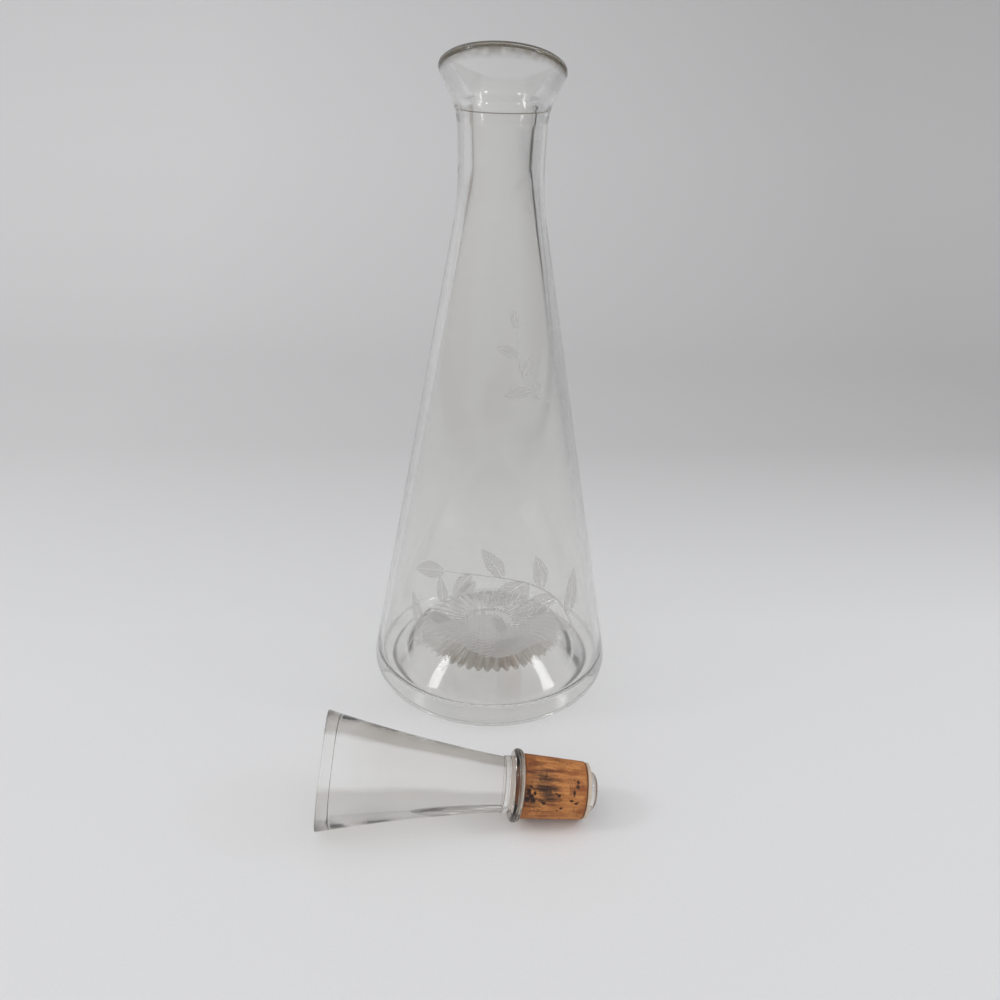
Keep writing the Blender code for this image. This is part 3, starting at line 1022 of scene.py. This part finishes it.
def laid_down(s, decanter):
    """The stopper's place on the table: its axis along X, resting on its disc and its flange."""
    p = stopper_places(s, decanter.bore_radius)
    points = []
    for corners in (stopper_glass_corners(s, p), cork_corners(s, p), ring_corners(s, p)):
        points += outline(corners)
    disc_points = [point for point in points if point.y >= -s.disc_thickness]
    far_points = [point for point in points if point.y < -p.head_end]
    dip = min(
        max(math.atan2(near.x - far.x, near.y - far.y) for near in disc_points)
        for far in far_points
    )
    place = decanter_axis()
    place.x -= s.shift
    place.y -= decanter.cone_foot_radius + s.clearance + s.disc_radius
    place.z = max(near.x * math.cos(dip) - near.y * math.sin(dip) for near in disc_points)
    return Matrix.Translation(place) @ Matrix.Rotation(dip - math.pi / 2, 4, "Y")


class DECANTER_OT_stopper_glass(bpy.types.Operator):
    """Build the stopper's solid glass: head, collar, flange and peg"""

    bl_idname = "decanter.stopper_glass"
    bl_label = "Stopper Glass"

    def execute(self, context):
        s, decanter = context.scene.stopper_sizes, context.scene.decanter_sizes
        p = stopper_places(s, decanter.bore_radius)
        verts, faces = lathe([outline(stopper_glass_corners(s, p))] * STOPPER_STEPS)
        material = stopper_material(context.scene.decanter_looks, p)
        piece = piece_of("stopper_clear_glass", verts, faces, material)
        piece.matrix_world = laid_down(s, decanter)
        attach(piece, "stopper")
        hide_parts("stopper_glass")
        return {"FINISHED"}


# The cork

# Pits that stand out: place along the cork, turn in degrees, length, width and depth
PORES_SEEN = (
    (0.0022, -66, 0.0011, 0.0009, 0.0006), (0.0012, -58, 0.0009, 0.0016, 0.0006),
    (0.0030, -74, 0.0010, 0.0008, 0.0005), (0.0034, -60, 0.0007, 0.0010, 0.0004),
    (0.0019, -49, 0.0008, 0.0007, 0.0004), (0.0008, -72, 0.0008, 0.0012, 0.0005),
    (0.0118, -62, 0.0010, 0.0007, 0.0004), (0.0165, -71, 0.0009, 0.0006, 0.0004),
    (0.0172, -55, 0.0007, 0.0013, 0.0004), (0.0183, -43, 0.0008, 0.0008, 0.0004),
    (0.0184, -34, 0.0007, 0.0009, 0.0004), (0.0181, -76, 0.0008, 0.0006, 0.0004),
    (0.0068, -78, 0.0009, 0.0007, 0.0005), (0.0132, -88, 0.0008, 0.0006, 0.0004),
)
SMALL_PORES = 90
PORE_SEED = 11
# How near a small pit comes to the cork's ends, and the ranges of its length, width and depth
PORE_MARGIN = 0.0005
SMALL_PORE_SIZES = (0.0002, 0.0007), (0.0002, 0.0006), (0.0001, 0.0003)
# How ragged a pit's edge is, how steep its side is, and how far out it ends, squared
RAGS_MIDDLE, RAGS_SWING, RAGS_SCALE = 1.5, 1.3, 1600
PIT_STEEPNESS = 1.5
PIT_END = 4
# Depth at which a pit's painted shade is quite dark, and the unevenness of the side with its grain
DARK_PIT = 0.0004
UNEVENNESS = 0.00006
GRAIN_ROUND, GRAIN_ALONG = 9, 260
# Middle of a stain, with its Z counted from the cork's thick end, and its reach
STAINS = (
    ((0.0078, -0.0080, -0.0050), 0.0105),
    ((0.0052, -0.0098, -0.0072), 0.0070),
    ((0.0040, -0.0104, -0.0012), 0.0070),
)
STAIN_FRAYING = 2.2
# Length of the darkened end, how fast it darkens, and how fast the reddish part fades
DARK_END = 0.0009
END_FADE = -900
REDDISH_FADE = -100
CORK_BUMP = 0.35
# Stops for the cork's ramps
SPECK_STOPS = (0.60, 0.0), (0.72, 0.6)
CRACK_STOPS = (0.60, 0.0), (0.68, 0.75)
REDDISH_STOPS = (0.9, 0.6), (1.0, 0.0)
STAIN_STOPS = (0.25, 0.95), (1.0, 0.0)
END_STOPS = (0.0, 0.0), (0.7, 0.75)
PIT_STOPS = (0.2, 0.0), (0.42, 0.95)
CORK_ROUGHNESS = (0.3, 0.62), (0.7, 0.85)


def pores(s):
    """Pits in the cork's side as (along, turn, length, width, depth), in metres and radians."""
    placed = list(PORES_SEEN)
    dice = random.Random(PORE_SEED)
    for _ in range(SMALL_PORES):
        placed.append((
            dice.uniform(PORE_MARGIN, s.cork_length - PORE_MARGIN), dice.uniform(-360, 0),
            *(dice.uniform(*sizes) for sizes in SMALL_PORE_SIZES),
        ))
    return [(along, math.radians(turn), *sizes) for along, turn, *sizes in placed]


def pit_depth(pits, along, turn, radius):
    """How deep the deepest of the ragged pits is at a place on the cork's side."""
    spot = Vector((turn * radius * RAGS_SCALE, 7.0, along * RAGS_SCALE))
    ragged = RAGS_MIDDLE + RAGS_SWING * noise.noise(spot)
    depth = 0.0
    for pit_along, pit_turn, pit_length, pit_width, deepest in pits:
        across = (turn - pit_turn + math.pi) % math.tau - math.pi
        near = ((along - pit_along) / pit_length) ** 2 + (across * radius / pit_width) ** 2
        if near < PIT_END:
            depth = max(depth, deepest * math.exp(-near * ragged * PIT_STEEPNESS))
    return depth


def cork_mesh(s, p):
    """The cork sleeve with its pores and slightly uneven side, and how deep each vertex is."""
    section = outline(cork_corners(s, p))
    pits = pores(s)
    sections, depths = [], []
    for step in range(CORK_STEPS):
        turn = math.tau * step / CORK_STEPS
        round_x, round_y = math.cos(turn) * GRAIN_ROUND, math.sin(turn) * GRAIN_ROUND
        moved, row = [], []
        for point in section:
            depth = 0.0
            along = -point.y - p.cork_start
            radius = p.cork_top_radius - s.cork_taper * along / s.cork_length
            if point.x > radius - s.cork_rounding:
                depth = pit_depth(pits, along, turn, radius)
                grain = noise.noise(Vector((round_x, round_y, along * GRAIN_ALONG)))
                point = Vector((point.x - depth - UNEVENNESS * (1 + grain), point.y))
            moved.append(point)
            row.append(depth)
        sections.append(moved)
        depths.append(row)
    return *lathe(sections), sections, depths


def cork_material(looks, p):
    """Natural cork: lengthwise grain, reddish patches, dark pores with painted shade that deepens in
    the deeper pits, and a stain near the flange.
    """
    material, tree = new_material("natural_cork")
    grain, patches = tree.grain(CORK_GRAIN), tree.grain(CORK_PATCHES)
    cracks, specks = tree.grain(CORK_CRACKS), tree.grain(CORK_SPECKS)
    place, _, _, z = tree.place()
    tone = tree.plus(tree.times(grain, 0.5), tree.times(patches, 0.5))
    base = tree.ramp(tone, (0.40, looks.cork_dark), (0.56, looks.cork_light))
    base = tree.blend(tree.ramp(specks, *SPECK_STOPS), base, looks.cork_dark)
    cracked = tree.times(tree.ramp(cracks, *CRACK_STOPS), patches)
    base = tree.blend(cracked, base, looks.cork_stain_and_pit_shade)
    from_flange = tree.times(tree.plus(z, p.cork_start), REDDISH_FADE)
    reddish = tree.ramp(tree.plus(from_flange, tree.times(patches, 1.2)), *REDDISH_STOPS)
    base = tree.blend(reddish, base, looks.cork_dark)
    for (spot_x, spot_y, spot_z), reach in STAINS:
        spot = (spot_x, spot_y, spot_z - p.cork_start)
        offset = tree.add("ShaderNodeVectorMath", {0: place, 1: spot}, operation="DISTANCE")
        frayed = tree.plus(
            tree.times(tree.math("SUBTRACT", grain, 0.5), reach * STAIN_FRAYING),
            offset.outputs["Value"], tree.times(patches, reach * 0.5),
        )
        stain = tree.ramp(tree.math("DIVIDE", frayed, reach), *STAIN_STOPS)
        base = tree.blend(stain, base, looks.cork_stain_and_pit_shade)
    end = tree.times(tree.plus(z, p.cork_end - DARK_END), END_FADE)
    base = tree.blend(tree.ramp(end, *END_STOPS), base, looks.cork_dark)
    ragged = tree.times(tree.math("SUBTRACT", specks, 0.5), 0.5)
    # The pores' own dark colour, with painted shade that grows with a pit's depth.
    pit = tree.ramp(tree.plus(tree.attribute("pit"), ragged), *PIT_STOPS)
    height = tree.plus(tree.times(grain, 0.6), tree.times(specks, 0.4))
    tree.surface(tree.principled(
        Base_Color=tree.blend(pit, base, looks.cork_stain_and_pit_shade),
        Roughness=tree.ramp(patches, *CORK_ROUGHNESS),
        Normal=tree.bump(height, CORK_BUMP, DARK_PIT),
    ))
    return material


class DECANTER_OT_cork(bpy.types.Operator):
    """Build the cork sleeve with its pores"""

    bl_idname = "decanter.cork"
    bl_label = "Cork"

    def execute(self, context):
        s, decanter = context.scene.stopper_sizes, context.scene.decanter_sizes
        p = stopper_places(s, decanter.bore_radius)
        verts, faces, sections, depths = cork_mesh(s, p)
        material = cork_material(context.scene.decanter_looks, p)
        piece = piece_of("cork", verts, faces, material)
        give_values(piece, "pit", sections, [[depth / DARK_PIT for depth in row] for row in depths])
        piece.matrix_world = laid_down(s, decanter)
        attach(piece, "stopper")
        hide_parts("cork_sleeve")
        return {"FINISHED"}


MILK_SWING = 1.12
MILK_DEPTH = (0.002, 0.002, 0.0018)


def milky_material(looks):
    """Milky, slightly see-through ring."""
    material, tree = new_material("milky_ring")
    cloud = tree.grain(MILK)
    pale = tuple(min(1.0, value * MILK_SWING) for value in looks.ring)
    tree.surface(tree.principled(
        Base_Color=tree.ramp(cloud, (0.35, looks.ring), (0.65, pale)),
        Roughness=tree.ramp(cloud, (0.3, 0.28), (0.7, 0.42)),
        Subsurface_Weight=0.4,
        Subsurface_Radius=MILK_DEPTH,
        Subsurface_Scale=1.0,
    ))
    return material


class DECANTER_OT_end_ring(bpy.types.Operator):
    """Build the milky ring between the cork and the clear tip"""

    bl_idname = "decanter.end_ring"
    bl_label = "End Ring"

    def execute(self, context):
        s, decanter = context.scene.stopper_sizes, context.scene.decanter_sizes
        p = stopper_places(s, decanter.bore_radius)
        verts, faces = lathe([outline(ring_corners(s, p))] * RING_STEPS)
        material = milky_material(context.scene.decanter_looks)
        piece = piece_of("milky_end_ring", verts, faces, material)
        piece.matrix_world = laid_down(s, decanter)
        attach(piece, "stopper")
        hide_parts("end_ring")
        return {"FINISHED"}


# The stage

SWEEP_PARTS = 24
SENSOR_WIDTH = 36.0
CLIP_START = 0.01
# Where the backdrop's tone and its darkening, both painted shade, the dark strip and the room start
# and end, in metres
BACKDROP_STOPS = (0.06, 0.0), (0.27, 1.0)
DIM_FROM, DIM_TO = SHIFT - 0.25, SHIFT + 0.4
HIGH_FROM, HIGH_TO = 0.12, 0.9
STRIP_STOPS = (0.0, 0.0), (0.1, 1.0), (0.4, 1.0), (0.5, 0.0)
LEFT_STOPS = (0.0, 0.0), (0.12, 1.0)
# How much of the paper its fibres tint, by the value of their grain
FIBRE_STOPS = (0.3, 0.0), (0.9, 0.05)
# How far a ray leans to a side or upwards where the side walls and the ceiling begin
WALL_STOPS = (0.72, 0.0), (0.92, 1.0)
CEILING_STOPS = (0.2, 0.0), (0.5, 1.0)


def sweep_mesh(s):
    """Table and backdrop in one sheet, with a wide bend between them."""
    bend_start = s.wall_distance - s.wall_bend
    section = [
        (-s.floor_reach + (bend_start + s.floor_reach) * part / SWEEP_PARTS, 0.0)
        for part in range(SWEEP_PARTS + 1)
    ]
    for part in range(1, SWEEP_PARTS + 1):
        turn = math.pi / 2 * part / SWEEP_PARTS
        section.append((
            bend_start + s.wall_bend * math.sin(turn), s.wall_bend * (1 - math.cos(turn)),
        ))
    section.append((s.wall_distance, s.wall_height))
    verts = [(side * s.floor_reach, y, z) for y, z in section for side in (-1, 1)]
    faces = [(2 * row, 2 * row + 1, 2 * row + 3, 2 * row + 2) for row in range(len(section) - 1)]
    return verts, faces


def sweep_material(looks, s):
    """Pale paper, with painted shade that makes the backdrop darker than the table, darker high up
    and at the right; the glass sees the room past its sides.
    """
    material, tree = new_material("pale_paper")
    x, y, z = tree.place()[1:]
    black, fibre_tone = (0, 0, 0), (0.3, 0.3, 0.3)
    # Painted shade: the backdrop's darker tone, and darker again at the right and high up.
    back = tree.ramp(y, *BACKDROP_STOPS)
    tone = tree.blend(back, looks.floor, looks.backdrop)
    sideways = tree.plus(x, SHIFT)
    right_shade_mask = tree.ramp(sideways, (DIM_FROM, 0.0), (DIM_TO, looks.right_shade))
    tone = tree.blend(tree.times(right_shade_mask, back), tone, black)
    tone = tree.blend(tree.ramp(z, (HIGH_FROM, 0.0), (HIGH_TO, looks.height_shade)), tone, black)
    tone = tree.blend(tree.ramp(tree.grain(FIBRES), *FIBRE_STOPS), tone, fibre_tone)
    seen = tree.add("ShaderNodeLightPath").outputs["Is Camera Ray"]
    unseen = tree.math("SUBTRACT", 1.0, seen)
    past_right = tree.math("SUBTRACT", x, s.table_right)
    strip = tree.ramp(past_right, *STRIP_STOPS)
    tone = tree.blend(tree.times(strip, unseen), tone, looks.dark_strip)
    past_left = tree.math("SUBTRACT", tree.times(x, -1.0), s.table_left)
    left = tree.ramp(past_left, *LEFT_STOPS)
    tone = tree.blend(tree.times(left, unseen), tone, looks.room_left)
    tree.surface(tree.principled(Base_Color=tone, Roughness=0.7, Specular_IOR_Level=0.25))
    return material


def build_room(scene, looks):
    """The room's light on the set, and what the glass and the camera see of the room."""
    world = bpy.data.worlds.new("room")
    world.use_nodes = True
    scene.world = world
    tree = Tree(world.node_tree)
    x, _, z = tree.place("Generated")[1:]
    room = tree.blend(tree.ramp(x, *WALL_STOPS), looks.room_front, looks.room_right)
    room = tree.blend(tree.ramp(tree.times(x, -1.0), *WALL_STOPS), room, looks.room_left)
    room = tree.blend(tree.ramp(z, *CEILING_STOPS), room, looks.room_above)
    path = tree.add("ShaderNodeLightPath").outputs
    seen = tree.blend(path["Is Camera Ray"], room, looks.backdrop)
    lit = tree.blend(path["Is Diffuse Ray"], seen, looks.room_light)
    background = tree.add("ShaderNodeBackground", {"Color": lit, "Strength": 1.0})
    tree.add("ShaderNodeOutputWorld", {"Surface": background.outputs[0]})


def add_lamp(name, s, side):
    """A soft lamp that looks at the middle of the set."""
    lamp = bpy.data.lights.new(name, "AREA")
    lamp.shape = "RECTANGLE"
    lamp.size = s.lamp_width
    lamp.size_y = s.lamp_height
    lamp.energy = s.lamp_power
    item = bpy.data.objects.new(name, lamp)
    level = s.lamp_distance * math.cos(s.lamp_elevation)
    item.location = (
        side * level * math.sin(s.lamp_bearing), -level * math.cos(s.lamp_bearing),
        s.lamp_distance * math.sin(s.lamp_elevation) + s.set_middle,
    )
    item.rotation_mode = "QUATERNION"
    way = Vector((0, 0, s.set_middle)) - item.location
    item.rotation_quaternion = way.to_track_quat("-Z", "Y")
    bpy.context.scene.collection.objects.link(item)


def add_camera(scene, s):
    """The camera at the photograph's viewing angle."""
    data = bpy.data.cameras.new("camera")
    data.lens = s.camera_lens
    data.sensor_width = SENSOR_WIDTH
    data.clip_start = CLIP_START
    item = bpy.data.objects.new("camera", data)
    bearing = s.camera_bearing
    item.location = decanter_axis() + Vector((
        -s.camera_distance * math.sin(bearing), -s.camera_distance * math.cos(bearing),
        s.camera_height,
    ))
    heading = bearing + s.camera_yaw
    forward = Vector((
        math.sin(heading) * math.cos(s.camera_pitch),
        math.cos(heading) * math.cos(s.camera_pitch),
        -math.sin(s.camera_pitch),
    ))
    item.rotation_mode = "QUATERNION"
    upright = forward.to_track_quat("-Z", "Y")
    item.rotation_quaternion = upright @ Matrix.Rotation(s.camera_roll, 3, "Z").to_quaternion()
    scene.collection.objects.link(item)
    scene.camera = item


class DECANTER_OT_stage(bpy.types.Operator):
    """Build the table, the backdrop, the room's light, the lamps and the camera"""

    bl_idname = "decanter.stage"
    bl_label = "Stage"

    def execute(self, context):
        scene = context.scene
        s = scene.decanter_stage
        verts, faces = sweep_mesh(s)
        sweep = piece_of("paper_sweep", verts, faces, sweep_material(scene.decanter_looks, s))
        build_room(scene, scene.decanter_looks)
        add_lamp("lamp_left", s, -1)
        add_lamp("lamp_right", s, 1)
        add_camera(scene, s)
        scene.view_settings.view_transform = "Standard"
        return {"FINISHED"}


class DECANTER_PT_panel(bpy.types.Panel):
    """The decanter's pieces, in the order in which they are built"""

    bl_idname = "DECANTER_PT_panel"
    bl_label = "Corked Glass Decanter"
    bl_space_type = "VIEW_3D"
    bl_region_type = "UI"
    bl_category = "Decanter"

    def draw(self, context):
        for operator in OPERATORS:
            self.layout.operator(operator.bl_idname)


SETTINGS = {
    "decanter_sizes": DecanterSizes,
    "stopper_sizes": StopperSizes,
    "etching_sizes": EtchingSizes,
    "decanter_looks": Looks,
    "decanter_stage": StageSizes,
}
OPERATORS = (
    DECANTER_OT_glass,
    DECANTER_OT_etching,
    DECANTER_OT_stopper_glass,
    DECANTER_OT_cork,
    DECANTER_OT_end_ring,
    DECANTER_OT_stage,
)


def register():
    """Make the settings, the operators and the panel known to Blender."""
    for kind in (*SETTINGS.values(), *OPERATORS, DECANTER_PT_panel):
        bpy.utils.register_class(kind)
    for name, kind in SETTINGS.items():
        setattr(bpy.types.Scene, name, PointerProperty(type=kind))


def unregister():
    """Take them away again."""
    for name in SETTINGS:
        delattr(bpy.types.Scene, name)
    for kind in (*SETTINGS.values(), *OPERATORS, DECANTER_PT_panel):
        bpy.utils.unregister_class(kind)


def main():
    """Register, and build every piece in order."""
    register()
    for operator in OPERATORS:
        group, name = operator.bl_idname.split(".")
        getattr(getattr(bpy.ops, group), name)()


if __name__ == "__main__":
    main()
